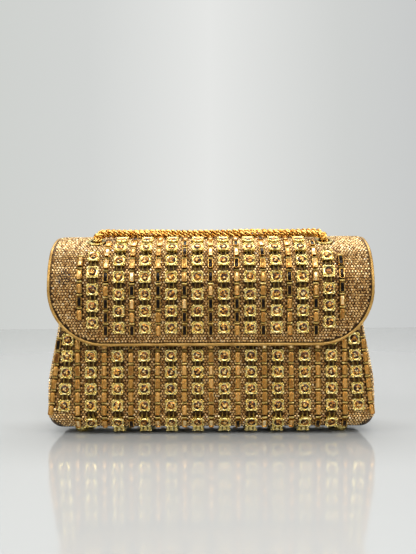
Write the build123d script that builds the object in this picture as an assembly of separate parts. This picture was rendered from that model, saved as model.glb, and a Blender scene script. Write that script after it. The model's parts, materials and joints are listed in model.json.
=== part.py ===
from build123d import *
import os
from math import acos, atan, cos, degrees, radians, sin, sqrt, tan

# Evening bag: a stiff, board-built case with a flap that folds over its front, covered in
# crystal mesh and in strips of claw-set round stones and bar stones, with a chain handle.
# Millimetres. +X is the bag's right-hand side as seen from its front, -Y is its front,
# +Z is up, and the origin lies on the table under the middle of the bag.

# ---- Walls, from the outside in -----------------------------------------------------
MESH = 1.2          # crystal mesh: a metal net with its small stones
BOARD = 2.0         # rigid board
LINING = 0.6        # satin lining with its paper backing
WALL = MESH + BOARD + LINING
GAP = 0.3           # running gap between the case and the flap

# ---- Case ---------------------------------------------------------------------------
MOUTH_Z = 126.0     # top edge of the back wall, under the hinge
MOUTH_DROP = 10.0   # how much lower the top edge of the front wall is
FOOT_H = 4.5        # height of the feet, so the base stands this high
LEAN = 2.1          # degrees that the front and back lean in towards the mouth
BASE_DEPTH = 52.0   # outside depth at the base
BOTTOM_R = 13.0     # roll from the front and back into the base
BASE_FLAT = 0.5     # the flat base lies this far above the lowest point of its rolls
MOUTH_W = 202.0     # outside width at the mouth
WAIST_W = 210.0     # outside width at WAIST_Z
WAIST_Z = 72.0
HIP_W = 219.8       # outside width at HIP_Z
HIP_Z = 45.0
BASE_W = 222.8      # outside width at FLARE_Z and below
FLARE_Z = 30.0
CORNER_R = 10.0     # lower corners seen from the front
EDGE_R = 7.0        # upright edges between the front or back and the gussets
TRAY_H = 16.5       # height of the moulded base tray above the base
BASE_COVER_H = 2.0  # how far the black base cover wraps up the sides
FACING_Z = 71.0     # above this the front has a plain facing, hidden by the flap
BINDING_H = 5.0     # mouth binding, down each side of the wall
BINDING_T = 0.5

# ---- Flap ---------------------------------------------------------------------------
FLAP_W = 219.4      # over the piping
FLAP_BOTTOM_Z = 61.3
FLAP_CORNER_R = 38.0
REAR_R = 10.0       # roll above the hinge
CROWN_R = 60.0      # gentle dome of the crown
CROWN_DIP = 31.0    # degrees of forward slope where the crown meets the brow
BROW_R = 20.0       # tighter curve in front of the crown
BROW_TURN = 47.0    # degrees of forward slope where the brow meets the wide curve
FACE_R = 35.0       # wide curve from there into the upright front
PIPING_D = 2.2
PIPING_CORE_D = 1.4
STRIP_CLEARANCE = 0.5

# ---- Stone strips -------------------------------------------------------------------
CUP = 8.3           # side of a square claw setting
CUP_H = 3.4
CUP_PITCH = 11.1
BAR_W = 3.6         # width of a bar stone in its channel
BAR_L = 6.6
BAR_H = 2.8
BAR_PITCH = 8.85
RIBBON = 1.2        # link strip that carries the settings
FLAP_STRIP_PITCH = 17.5
FLAP_CUP_COLUMNS = 10
FLAP_CUP_START = 10.5    # centre of the lowest setting above the flap's stone field
FLAP_CUPS = 7            # settings in each strip, which stops behind the brow
FLAP_BAR_START = 8.5
FLAP_BARS = 9
FLAP_SIDE_START = 13.9   # centre of the lowest setting of the outermost flap columns
FLAP_SIDE_CUPS = 5       # settings in the outermost flap columns, which stop at the eyelets
FLAP_SIDE_BAR_START = 19.2
FLAP_SIDE_BARS = 5
FLAP_EDGE_BARS = 8       # in the bar strips beside the eyelets, clear of the chain's ends
CASE_STRIP_PITCH = 18.05
CASE_CUP_COLUMNS = 12
FRONT_STRIP_TOP = 70.0
BACK_STRIP_TOP = 108.0
SIDE_STRIP_TOP = 70.0    # the outermost strips stop where the case narrows
CASE_CUP_START = 2.3     # centre of the lowest case setting before the end of the roll
SHORT_UNDER = 50.0       # degrees of the roll that bar strips and strips by the feet follow
SIDE_CUP_INSET = 12.1    # outermost case columns, in from the case's side at HIP_Z
SIDE_CUP_LEAN = 3.4      # degrees that the outermost columns lean out with the case
SIDE_CUP_LOW_Z = 19.5
SIDE_BAR_INSET = 4.7
SIDE_BAR_LEAN = 6.3
SIDE_BAR_LOW_Z = 17.0

# ---- Hinge strip, snap, chain, eyelets, feet, pocket ---------------------------------
SPINE_T = 0.8
SPINE_DOWN = 11.0
SPINE_TURN = 55.0        # degrees that the hinge strip follows the roll above the hinge
SPINE_W = 186.0
SNAP_D = 18.0
SNAP_Z = 84.0
SNAP_BODY_T = 2.4
SNAP_BORE_D = 8.0
SNAP_NUB_D = 4.0
SNAP_NUB_H = 1.0
MAGNET_D = 14.0
MAGNET_T = 1.4
SNAP_LEG_W = 4.0
SNAP_LEG_T = 0.8
SNAP_LEG_SPAN = 9.0
SNAP_WASHER_D = 15.0
WASHER_T = 0.5
CHAIN_D = 6.0
EYELET_INSET = 30.2      # eyelets, in from each end of the flap
EYELET_DIP = 22.0        # degrees of forward slope of the crown at the eyelets
EYELET_D = 12.3
EYELET_BORE_D = 8.2
EYELET_WALL = 0.5
EYELET_RIM = 1.0
EYELET_ROUND = 0.6
EYELET_WASHER_T = 0.8
END_RING_D = 12.0
END_RING_WIRE = 2.0
KEEPER_X = 38.0
KEEPER_W = 8.0
KEEPER_T = 0.8
KEEPER_SLACK = 0.9
FOOT_D = 10.0
FOOT_COLUMN = 5          # the feet stand under this bar column, counted from the middle
FOOT_Y = 10.5
FOOT_ROUND = 3.4         # rounding of the domed feet round their flat
FOOT_SHANK_D = 3.0
FOOT_WASHER_D = 9.0
POCKET_W = 130.0
POCKET_H = 72.0
POCKET_TOP_Z = 104.0
POCKET_T = 0.6
POCKET_ROOM = 1.4
FIT = 0.1                # clearance of shanks and barrels in their holes

# ---- Worked out from the sizes above -------------------------------------------------
lean = radians(LEAN)
roll_y = BASE_DEPTH / 2 - BOTTOM_R
roll_z = FOOT_H + BOTTOM_R - BASE_FLAT


def skin_y(z, out=0.0):
    """Half the depth of the case at height z, `out` outside its mesh."""
    radius = BOTTOM_R + out
    return roll_y + radius * cos(lean) - (z - roll_z - radius * sin(lean)) * tan(lean)


hinge_y = skin_y(MOUTH_Z)
hinge_z = MOUTH_Z + GAP / 2
flap_front = skin_y(FLAP_BOTTOM_Z) + CUP_H + STRIP_CLEARANCE + WALL
brow_start = radians(90 + CROWN_DIP)
face_start = radians(90 + BROW_TURN)
rear_c = Vector(hinge_y - REAR_R, MOUTH_Z + GAP)
reach = rear_c.X + flap_front - FACE_R
reach += (CROWN_R - BROW_R) * cos(brow_start) - (FACE_R - BROW_R) * cos(face_start)
crown_end = acos(reach / (CROWN_R - REAR_R))
crown_c = rear_c - Vector(cos(crown_end), sin(crown_end)) * (CROWN_R - REAR_R)
brow_c = crown_c + Vector(cos(brow_start), sin(brow_start)) * (CROWN_R - BROW_R)
face_c = brow_c - Vector(cos(face_start), sin(face_start)) * (FACE_R - BROW_R)
# The bag stands over its own middle: the flap's stones reach further than the back's.
MIDDLE_Y = (flap_front - BASE_DEPTH / 2) / 2


def polar(centre, radius, degrees_up):
    """Point of the side view at an angle above the +Y direction."""
    angle = radians(degrees_up)
    return Vector(centre.X + radius * cos(angle), centre.Y + radius * sin(angle))


def arc(centre, radius, start, end):
    """Arc of the side view between two angles."""
    middle = polar(centre, radius, (start + end) / 2)
    return ThreePointArc(polar(centre, radius, start), middle, polar(centre, radius, end))


# ---- Case forms ----------------------------------------------------------------------
def case_back_line(out, top, under=90.0):
    """Side view of the back, from `top` down its lean and round the bottom roll."""
    centre = Vector(roll_y, roll_z)
    radius = BOTTOM_R + out
    upright = Line((skin_y(top, out), top), polar(centre, radius, LEAN))
    return Curve() + [upright, arc(centre, radius, LEAN, -under)]


def case_side_face(out, top):
    """Whole side view of the case, `out` outside its mesh."""
    back = case_back_line(out, top)
    front = mirror(back, Plane.YZ)
    rims = [Line(back @ 0, front @ 0), Line(back @ 1, front @ 1)]
    return Plane.YZ * make_face(Curve() + [*back.edges(), *front.edges(), *rims])


def case_front_face(out, top):
    """Whole front view of the case, `out` outside its mesh."""
    half = [w / 2 + out for w in (MOUTH_W, WAIST_W, HIP_W, BASE_W)]
    heights = (MOUTH_Z, WAIST_Z, HIP_Z, FLARE_Z)
    side = Spline(*zip(half, heights), tangents=[(0.05, -1), (0, -1)])
    centre = Vector(BASE_W / 2 - CORNER_R, FOOT_H + CORNER_R - BASE_FLAT)
    corner = arc(centre, CORNER_R + out, 0, -90)
    right = [side, Line((half[3], FLARE_Z), corner @ 0), corner]
    if top > MOUTH_Z:
        right.append(Line((half[0], top), (half[0], MOUTH_Z)))
    left = [mirror(edge, Plane.YZ) for edge in right]
    rims = [Line((half[0], top), (-half[0], top)), Line(corner @ 1, left[2] @ 1)]
    return Plane.XZ * make_face(Curve() + [*right, *left, *rims])


def case_form(out=0.0, top=MOUTH_Z):
    """Solid of the case, `out` outside its mesh and up to `top`."""
    side = extrude(case_side_face(out, top), BASE_W, both=True)
    front = extrude(case_front_face(out, top), BASE_DEPTH, both=True)
    form = side & front
    radius = EDGE_R + out
    corners = [e for e in form.edges() if is_upright_corner(e, out)]
    return fillet(corners, radius) & slab(FOOT_H - out, top)


def is_upright_corner(edge, out):
    middle = edge.center()
    room = EDGE_R + out
    beside = abs(middle.X) > MOUTH_W / 2 + out - room
    ahead = abs(middle.Y) > skin_y(MOUTH_Z) + out - room
    return beside and ahead and middle.Z < MOUTH_Z - 1


BEYOND = 500.0  # further than any piece reaches


def slab(z0, z1, y0=-BEYOND, y1=BEYOND, x0=-BEYOND, x1=BEYOND):
    """Box between planes, used to cut a form."""
    size = (x1 - x0, y1 - y0, z1 - z0)
    middle = ((x0 + x1) / 2, (y0 + y1) / 2, (z0 + z1) / 2)
    return Pos(*middle) * Box(*size)


def under_mouth(lift=0.0):
    """Half space under the sloping mouth, `lift` above its edge."""
    slope = degrees(atan(MOUTH_DROP / (2 * hinge_y)))
    return Pos(0, hinge_y, MOUTH_Z + lift) * Rot(slope, 0, 0) * slab(-BEYOND, 0)


def split_shell(shell, inner, z0, z1):
    """Front, back, left and right walls of a shell between two heights."""
    ring = shell & slab(z0, z1)
    core = extrude(case_side_face(inner, MOUTH_Z), BASE_W, both=True)
    faces = ring - core
    ends = ring & core
    front = faces & slab(z0, z1, y1=0)
    back = faces & slab(z0, z1, y0=0)
    left = ends & slab(z0, z1, x1=0)
    right = ends & slab(z0, z1, x0=0)
    return front, back, left, right


# ---- Flap forms ----------------------------------------------------------------------
def flap_line(out, end_z):
    """Side view of the flap, from its hinge over the crown and down to `end_z`."""
    rear = arc(rear_c, REAR_R + out, 0, degrees(crown_end))
    crown = arc(crown_c, CROWN_R + out, degrees(crown_end), 90 + CROWN_DIP)
    brow_arc = arc(brow_c, BROW_R + out, 90 + CROWN_DIP, 90 + BROW_TURN)
    face_arc = arc(face_c, FACE_R + out, 90 + BROW_TURN, 180)
    front = Line(face_arc @ 1, (-flap_front - out, end_z))
    return [rear, crown, brow_arc, face_arc, front]


def flap_band(inner, outer, width):
    """Sheet of the flap between two offsets, `width` wide and down to the flap's hem."""
    hem_z = FLAP_BOTTOM_Z + PIPING_D
    outside, inside = flap_line(outer, hem_z), flap_line(inner, hem_z)
    ends = [Line(outside[0] @ 0, inside[0] @ 0), Line(outside[-1] @ 1, inside[-1] @ 1)]
    face = Plane.YZ * make_face(Curve() + [*outside, *inside, *ends])
    sheet = extrude(face, width / 2, both=True)
    radius = FLAP_CORNER_R - (FLAP_W - width) / 2
    hem = slab(hem_z, hem_z + BEYOND, x0=-width / 2, x1=width / 2)
    corners = [e for e in hem.edges().filter_by(Axis.Y) if e.center().Z < hem_z + 1]
    return sheet & fillet(corners, radius)


flap_field_w = FLAP_W - 2 * PIPING_D


def on_flap(degrees_down, out=0.0):
    """Plane on the crown where it slopes `degrees_down`, with its Z axis outwards."""
    point = polar(crown_c, CROWN_R + out, 90 + degrees_down)
    normal = (0, -sin(radians(degrees_down)), cos(radians(degrees_down)))
    return Plane(origin=(0, point.X, point.Y), x_dir=(1, 0, 0), z_dir=normal)


# ---- Stone strips --------------------------------------------------------------------
def ribbon(inner, outer):
    """Face of the link ribbon between two offsets of a chain of edges."""
    ends = [Line(inner[0] @ 0, outer[0] @ 0), Line(inner[-1] @ 1, outer[-1] @ 1)]
    return make_face(Curve() + [*inner, *outer, *ends])


def comb(line, side, start, pitch, rows, length, height, width):
    """Strip of settings along line(out), counted from the line's far end.

    `side` is 1 where the stones stand to the left of the line and -1 to its right.
    """
    inner = line(0)
    path = Wire(inner)
    profile = ribbon(inner, line(RIBBON))
    rise = height - RIBBON / 2
    for row in range(rows):
        distance = path.length - start - row * pitch
        point = path.position_at(distance, position_mode=PositionMode.LENGTH)
        along = path.tangent_at(distance, position_mode=PositionMode.LENGTH)
        seat = Plane(origin=point, x_dir=along, z_dir=(0, 0, 1))
        profile += seat * (Pos(0, side * (RIBBON / 2 + rise / 2)) * Rectangle(length, rise))
    return extrude(Plane.YZ * profile, width / 2, both=True)


def rows_that_fit(length, start, pitch, stone):
    return int((length - start - stone / 2) // pitch) + 1


def cup_comb(line, side, start, rows=None):
    rows = rows or rows_that_fit(Wire(line(0)).length, start, CUP_PITCH, CUP)
    return comb(line, side, start, CUP_PITCH, rows, CUP, CUP_H, CUP)


def bar_comb(line, side, start, rows=None):
    rows = rows or rows_that_fit(Wire(line(0)).length, start, BAR_PITCH, BAR_L)
    return comb(line, side, start, BAR_PITCH, rows, BAR_L, BAR_H, BAR_W)


def copies(shape, places):
    return [Pos(x, 0, 0) * shape for x in places]


def columns(count, pitch):
    """Positions of evenly spaced columns, centred on the bag."""
    return [(i - (count - 1) / 2) * pitch for i in range(count)]


def leaning(shape, x, degrees_out, low_z):
    """A pair of outer case strips, tilted with the sides and cut off at `low_z`."""
    pair = []
    for hand in (-1, 1):
        turned = Pos(hand * x, FIT, HIP_Z) * Rot(0, -hand * degrees_out, 0) * Pos(0, 0, -HIP_Z)
        pair.append((turned * shape) & slab(low_z, SIDE_STRIP_TOP))
    return pair


def case_strips(top):
    """Cup strips and bar strips of the back of the case, up to `top`."""
    def whole(out):
        return case_back_line(out, top).edges()

    def short(out):
        return case_back_line(out, top, SHORT_UNDER).edges()

    def side(out):
        return case_back_line(out, SIDE_STRIP_TOP, SHORT_UNDER).edges()

    cup_x = columns(CASE_CUP_COLUMNS, CASE_STRIP_PITCH)
    inner_bars = columns(CASE_CUP_COLUMNS - 1, CASE_STRIP_PITCH)
    short_start = CASE_CUP_START + CUP_PITCH - radians(90 - SHORT_UNDER) * BOTTOM_R
    cup = cup_comb(short, 1, short_start)
    bar = bar_comb(short, 1, BAR_L / 2)
    side_cup = cup_comb(side, 1, short_start)
    side_bar = bar_comb(side, 1, BAR_L / 2)
    cups = copies(cup_comb(whole, 1, CASE_CUP_START), cup_x[2:-2])
    cups += copies(cup, (cup_x[1], cup_x[-2]))
    cups += leaning(side_cup, HIP_W / 2 - SIDE_CUP_INSET, SIDE_CUP_LEAN, SIDE_CUP_LOW_Z)
    bars = copies(bar, inner_bars)
    bars += leaning(side_bar, HIP_W / 2 - SIDE_BAR_INSET, SIDE_BAR_LEAN, SIDE_BAR_LOW_Z)
    return cups, bars


def to_front(shapes):
    return [mirror(shape, Plane.XZ) for shape in shapes]


def flap_strips():
    """Cup strips and bar strips of the flap."""

    def cups(x, start, rows):
        def line(out):
            return strip_line(out, start, rows, CUP_PITCH, CUP)

        return Pos(x, 0, 0) * cup_comb(line, -1, CUP / 2 + FIT, rows)

    def bars(x, start, rows):
        def line(out):
            return strip_line(out, start, rows, BAR_PITCH, BAR_L)

        return Pos(x, 0, 0) * bar_comb(line, -1, BAR_L / 2 + FIT, rows)

    cup_x = columns(FLAP_CUP_COLUMNS, FLAP_STRIP_PITCH)
    bar_x = columns(FLAP_CUP_COLUMNS + 1, FLAP_STRIP_PITCH)
    cup_strips = [cups(x, FLAP_CUP_START, FLAP_CUPS) for x in cup_x[1:-1]]
    cup_strips += [cups(x, FLAP_SIDE_START, FLAP_SIDE_CUPS) for x in (cup_x[0], cup_x[-1])]
    bar_strips = [bars(x, FLAP_BAR_START, FLAP_BARS) for x in bar_x[2:-2]]
    bar_strips += [bars(x, FLAP_BAR_START, FLAP_EDGE_BARS) for x in (bar_x[1], bar_x[-2])]
    bar_strips += [bars(x, FLAP_SIDE_BAR_START, FLAP_SIDE_BARS) for x in (bar_x[0], bar_x[-1])]
    return cup_strips, bar_strips


def strip_line(out, start, rows, pitch, stone):
    """Line of a flap strip, `out` outside the mesh and just as long as its stones."""
    low_z = FLAP_BOTTOM_Z + PIPING_D + start - stone / 2 - FIT
    above = (rows - 1) * pitch + stone + 2 * FIT - (face_c.Y - low_z)
    face_turn = min(degrees(above / FACE_R), 90 - BROW_TURN)
    above -= radians(face_turn) * FACE_R
    brow_turn = min(degrees(above / BROW_R), BROW_TURN - CROWN_DIP)
    above -= radians(brow_turn) * BROW_R
    crown_turn = degrees(above / CROWN_R)
    face_arc = arc(face_c, FACE_R + out, 180 - face_turn, 180)
    line = [face_arc, Line(face_arc @ 1, (-flap_front - out, low_z))]
    brow_end = 90 + BROW_TURN
    if brow_turn > 1:
        line.insert(0, arc(brow_c, BROW_R + out, brow_end - brow_turn, brow_end))
    if crown_turn > 1:
        top = 90 + CROWN_DIP
        line.insert(0, arc(crown_c, CROWN_R + out, top - crown_turn, top))
    return line


# ---- Pieces: the case ----------------------------------------------------------------
parts = {}
tray_z = FOOT_H + TRAY_H
case_out = case_form()
case_board = case_form(-MESH)
case_lined = case_form(-MESH - BOARD)
case_room = case_form(-WALL)
mouth = under_mouth()
mesh_shell = (case_out - case_board) & mouth
board_shell = (case_board - case_lined) & mouth

cover_z = FOOT_H + BASE_COVER_H
skins = split_shell(mesh_shell, -MESH, cover_z, MOUTH_Z)
parts["front_mesh"] = skins[0] & slab(cover_z, FACING_Z)
parts["front_facing"] = skins[0] & slab(FACING_Z, MOUTH_Z)
parts["back_mesh"], parts["gusset_mesh_left"], parts["gusset_mesh_right"] = skins[1:]
parts["base_cover"] = mesh_shell & slab(0, cover_z)

boards = split_shell(board_shell, -MESH - BOARD, tray_z, MOUTH_Z)
parts["front_board"], parts["back_board"] = boards[0], boards[1]
parts["gusset_board_left"], parts["gusset_board_right"] = boards[2], boards[3]
parts["base_tray"] = board_shell & slab(0, tray_z)
parts["case_lining"] = (case_lined - case_room) & mouth

binding_top = MOUTH_Z + BINDING_T
rim_out = case_form(BINDING_T, binding_top)
rim_in = case_form(-WALL - BINDING_T, binding_top)
rim = (rim_out - rim_in) & slab(0, BEYOND, y1=skin_y(MOUTH_Z) - EDGE_R)
rim = (rim & under_mouth(BINDING_T)) - under_mouth(-BINDING_H)
parts["mouth_binding"] = rim - (case_out & mouth) + (rim & case_room & mouth)

front_cups, front_bars = case_strips(FRONT_STRIP_TOP)
back_cups, back_bars = case_strips(BACK_STRIP_TOP)
parts["front_cup_strips"] = to_front(front_cups)
parts["front_bar_strips"] = to_front(front_bars)
parts["back_cup_strips"] = back_cups
parts["back_bar_strips"] = back_bars

# ---- Pieces: the flap ----------------------------------------------------------------
parts["flap_mesh"] = flap_band(-MESH, 0, flap_field_w)
parts["flap_board"] = flap_band(-MESH - BOARD, -MESH, flap_field_w)
parts["flap_lining"] = flap_band(-WALL, -MESH - BOARD, flap_field_w)
parts["flap_cup_strips"], parts["flap_bar_strips"] = flap_strips()


def flap_rim(diameter):
    """Round cord along the flap's edge, from hinge to hinge."""
    depth = -PIPING_D / 2
    half = FLAP_W / 2 - PIPING_D / 2
    bottom = FLAP_BOTTOM_Z + PIPING_D / 2
    radius = FLAP_CORNER_R - PIPING_D / 2
    y = -flap_front - depth
    side = [(Pos(half, 0, 0) * (Plane.YZ * e)).edge() for e in flap_line(depth, bottom + radius)]
    centre = Vector(half - radius, bottom + radius)
    corner = (Pos(0, y, 0) * (Plane.XZ * arc(centre, radius, 0, -90))).edge()
    right = [*side, corner]
    left = [mirror(e, Plane.YZ).edge() for e in right]
    hem = Line(corner @ 1, left[-1] @ 1)
    path = Wire([*right, hem, *left[::-1]])
    start = Plane(origin=path @ 0, z_dir=path % 0)
    return sweep(start * Circle(diameter / 2), path=path, transition=Transition.ROUND)


piping_core = flap_rim(PIPING_CORE_D)
parts["flap_piping_core"] = piping_core
parts["flap_piping"] = flap_rim(PIPING_D) - piping_core

# ---- Pieces: hinge strip ---------------------------------------------------------------
def spine(near, far):
    """Strip across the hinge between two offsets, glued to the back and to the flap."""
    top = MOUTH_Z + GAP
    lower = ribbon([case_back_line(near, top).edges()[0]], [case_back_line(far, top).edges()[0]])
    upper = ribbon(
        [arc(rear_c, REAR_R + near, 0, SPINE_TURN)], [arc(rear_c, REAR_R + far, 0, SPINE_TURN)]
    )
    strip = extrude(Plane.YZ * lower, SPINE_W / 2, both=True) & slab(MOUTH_Z - SPINE_DOWN, top)
    return strip + extrude(Plane.YZ * upper, SPINE_W / 2, both=True)


parts["hinge_strip"] = spine(GAP, GAP + SPINE_T)
parts["hinge_strip_lining"] = spine(-WALL - GAP - SPINE_T, -WALL - GAP)

# ---- Pieces: magnetic snap -------------------------------------------------------------
facing_y = -skin_y(SNAP_Z - SNAP_D / 2)
snap_face_y = facing_y - SNAP_BODY_T
flap_inner_y = -flap_front + WALL
stud_t = snap_face_y - GAP - flap_inner_y
board_in_y = -skin_y(SNAP_Z - SNAP_WASHER_D / 2, -MESH - BOARD)


def disc(diameter, y0, y1):
    """Disc of the snap, with its axis along Y."""
    middle = Pos(0, (y0 + y1) / 2, SNAP_Z) * Rot(90, 0, 0)
    return middle * Cylinder(diameter / 2, abs(y1 - y0))


def legs(y0, y1, grow=0.0):
    size = (SNAP_LEG_T + 2 * grow, y1 - y0, SNAP_LEG_W + 2 * grow)
    leg = Pos(0, (y0 + y1) / 2, SNAP_Z) * Box(*size)
    return Pos(SNAP_LEG_SPAN / 2, 0, 0) * leg + Pos(-SNAP_LEG_SPAN / 2, 0, 0) * leg


socket_washer_y = board_in_y - WASHER_T
magnet_y = snap_face_y + (SNAP_BODY_T - MAGNET_T)
magnet = disc(MAGNET_D, magnet_y, facing_y) - disc(SNAP_BORE_D + 2, magnet_y, facing_y)
room = disc(MAGNET_D + 2 * FIT, magnet_y - FIT, facing_y + 2)
room -= disc(SNAP_BORE_D + 2 - 2 * FIT, magnet_y - FIT, facing_y + 2)
socket = disc(SNAP_D, snap_face_y, facing_y + 2) - case_out - room
socket -= disc(SNAP_BORE_D, snap_face_y, snap_face_y + SNAP_BODY_T - MAGNET_T / 2)
parts["snap_socket"] = socket + (legs(magnet_y, board_in_y) - room)
parts["snap_magnet"] = magnet
parts["snap_socket_washer"] = disc(SNAP_WASHER_D, socket_washer_y, board_in_y) - legs(
    socket_washer_y - 1, board_in_y + 1, FIT
)
socket_cut = legs(facing_y - 1, board_in_y + 1, FIT)
socket_recess = disc(SNAP_WASHER_D + 2 * FIT, socket_washer_y, board_in_y + 1)
parts["front_facing"] -= socket_cut
parts["front_board"] -= [socket_cut, socket_recess]

stud_washer_y = -flap_front + MESH
stud_y = flap_inner_y + stud_t
parts["snap_stud"] = (
    disc(SNAP_D, flap_inner_y, stud_y)
    + disc(SNAP_NUB_D, stud_y, stud_y + SNAP_NUB_H)
    + legs(stud_washer_y, flap_inner_y)
)
parts["snap_stud_washer"] = disc(SNAP_WASHER_D, stud_washer_y, stud_washer_y + WASHER_T) - legs(
    stud_washer_y - 1, stud_washer_y + 1, FIT
)
stud_cut = legs(stud_washer_y - FIT, flap_inner_y + 1, FIT)
stud_recess = disc(SNAP_WASHER_D + 2 * FIT, stud_washer_y, stud_washer_y + WASHER_T)
parts["flap_lining"] -= stud_cut
parts["flap_board"] -= [stud_cut, stud_recess]

# ---- Pieces: eyelets -------------------------------------------------------------------
eyelet_x = FLAP_W / 2 - EYELET_INSET
barrel_r = EYELET_BORE_D / 2 + EYELET_WALL
inner_roll = CROWN_R - WALL
washer_drop = WALL + inner_roll - sqrt(inner_roll**2 - (EYELET_D / 2) ** 2)
barrel_end = washer_drop + EYELET_WASHER_T + EYELET_WALL


def eyelet_stack(radius, low, high):
    """Cylinder along the left eyelet's axis, between two heights over the mesh."""
    seat = on_flap(EYELET_DIP)
    return seat * (Pos(-eyelet_x, 0, (low + high) / 2) * Cylinder(radius, high - low))


rim = eyelet_stack(EYELET_D / 2, 0, EYELET_RIM)
rim = fillet(rim.edges().filter_by(GeomType.CIRCLE).sort_by(Axis.Z)[-1:], EYELET_ROUND)
bore = eyelet_stack(EYELET_BORE_D / 2, -barrel_end - 1, EYELET_RIM + 1)
eyelet = rim + eyelet_stack(barrel_r, -barrel_end, EYELET_RIM) - bore
washer = eyelet_stack(EYELET_D / 2, -washer_drop - EYELET_WASHER_T, -washer_drop)
washer -= eyelet_stack(barrel_r + FIT, -barrel_end - 1, EYELET_RIM + 1)
parts["eyelet_left"] = eyelet
parts["eyelet_right"] = mirror(eyelet, Plane.YZ)
parts["eyelet_washers"] = [washer, mirror(washer, Plane.YZ)]
eyelet_hole = eyelet_stack(barrel_r + FIT, -barrel_end - 1, EYELET_RIM + 1)
for layer in ("flap_mesh", "flap_board", "flap_lining"):
    parts[layer] -= [eyelet_hole, mirror(eyelet_hole, Plane.YZ)]

# ---- Pieces: chain handle --------------------------------------------------------------
# Centre line of the chain from its left end, held under the flap, out through the left
# eyelet, across the crown and back in through the right eyelet. In the part's own frame.
CHAIN_ROUTE = [
    (-19.5, 1.4, 125.4),
    (-38.0, 1.8, 125.2),
    (-57.5, 0.6, 122.4),
    (-73.4, -1.2, 117.6),
    (-79.5, -3.0, 122.4),
    (-79.5, -8.05, 134.8),
    (-75.9, -7.5, 138.3),
    (-62.0, 0.9, 138.25),
    (-44.0, 1.4, 138.2),
    (-26.0, 2.6, 138.4),
    (-7.0, 0.8, 138.1),
    (13.0, 2.2, 138.3),
    (31.0, 3.2, 138.5),
    (49.0, 1.8, 138.25),
    (62.0, 1.0, 138.25),
    (75.9, -7.5, 138.3),
    (79.5, -8.05, 134.8),
    (79.5, -3.0, 122.4),
    (73.4, -1.2, 117.6),
    (57.5, 0.6, 122.4),
    (38.0, 1.8, 125.2),
    (19.5, 1.4, 125.4),
]


def bend_radii(route):
    """The largest arc that each corner of a cord's route has room for."""
    points = [Vector(*p) for p in route]
    radii = []
    for before, corner, after in zip(points, points[1:], points[2:]):
        turn = (corner - before).get_angle(after - corner)
        run = min((corner - before).length, (after - corner).length)
        radii.append(0.45 * run / tan(radians(turn / 2)))
    return radii


def cord(route, diameter):
    """Plain tube along a route of straight runs and tangent arcs."""
    radii = bend_radii(route)
    path = FilletPolyline(*route, radius=radii)
    start = Plane(origin=path @ 0, z_dir=path % 0)
    tube = sweep(start * Circle(diameter / 2), path=path)
    filled = tube.volume / (path.length * Circle(diameter / 2).area)
    print("bend radii", [round(r, 1) for r in radii])
    print("cord length", round(path.length, 1), "volume over plain tube", round(filled, 4))
    return tube


left_eyelet_point = CHAIN_ROUTE[4]
spread = eyelet_x / abs(left_eyelet_point[0])
chain_route = [(x * spread, y, z) for x, y, z in CHAIN_ROUTE]
chain = Pos(0, -MIDDLE_Y, 0) * cord(chain_route, CHAIN_D)
parts["chain_handle"] = chain
end_x, end_y, end_z = chain_route[-1]
ring_r = END_RING_D / 2
ring = Torus(ring_r - END_RING_WIRE / 2, END_RING_WIRE / 2)
ring = Pos(end_x - ring_r - FIT, end_y - MIDDLE_Y, end_z) * ring
parts["chain_end_rings"] = [ring, mirror(ring, Plane.YZ)]


def keeper():
    """Leather loop on the flap's lining that the right end of the chain slides through."""
    points = [Vector(*p) for p in chain_route]
    centre = min(points, key=lambda p: abs(p.X - KEEPER_X) + abs(p.Z - end_z))
    inner = CHAIN_D / 2 + KEEPER_SLACK
    outer = inner + KEEPER_T
    where = Vector(centre.Y - MIDDLE_Y, centre.Z)
    rise = crown_c.Y + CROWN_R - where.Y
    solid = Circle(outer) + Pos(0, rise / 2) * Rectangle(2 * outer, rise)
    hollow = Circle(inner) + Pos(0, rise / 2) * Rectangle(2 * inner, rise)
    strap = extrude(Plane.YZ * (Pos(where.X, where.Y) * (solid - hollow)), KEEPER_W / 2, both=True)
    return Pos(KEEPER_X, 0, 0) * (strap - flap_band(-WALL, BROW_R, flap_field_w))


right_keeper = keeper()
parts["chain_keeper_left"] = mirror(right_keeper, Plane.YZ)
parts["chain_keeper_right"] = right_keeper

# ---- Pieces: feet ----------------------------------------------------------------------
shank_top = FOOT_H + MESH + BOARD
foot_x = FOOT_COLUMN * CASE_STRIP_PITCH
feet_at = [Pos(x, y, 0) for x in (-foot_x, foot_x) for y in (-FOOT_Y, FOOT_Y)]
dome = Pos(0, 0, FOOT_H / 2) * Cylinder(FOOT_D / 2, FOOT_H)
dome = fillet(dome.edges().sort_by(Axis.Z)[:1], FOOT_ROUND)
shank = Pos(0, 0, shank_top / 2 + FOOT_H / 4) * Cylinder(FOOT_SHANK_D / 2, shank_top - FOOT_H / 2)
foot_washer = Pos(0, 0, shank_top - WASHER_T / 2) * (
    Cylinder(FOOT_WASHER_D / 2, WASHER_T) - Cylinder(FOOT_SHANK_D / 2 + FIT, WASHER_T)
)
hole = Pos(0, 0, FOOT_H + WALL / 2) * Cylinder(FOOT_SHANK_D / 2 + FIT, 2 * WALL)
recess = Pos(0, 0, shank_top) * Cylinder(FOOT_WASHER_D / 2 + FIT, 2 * WASHER_T)
parts["feet"] = [at * (dome + shank) for at in feet_at]
parts["foot_washers"] = [at * foot_washer for at in feet_at]
parts["base_cover"] -= [at * hole for at in feet_at]
parts["base_tray"] -= [at * (hole + recess) for at in feet_at]

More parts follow.
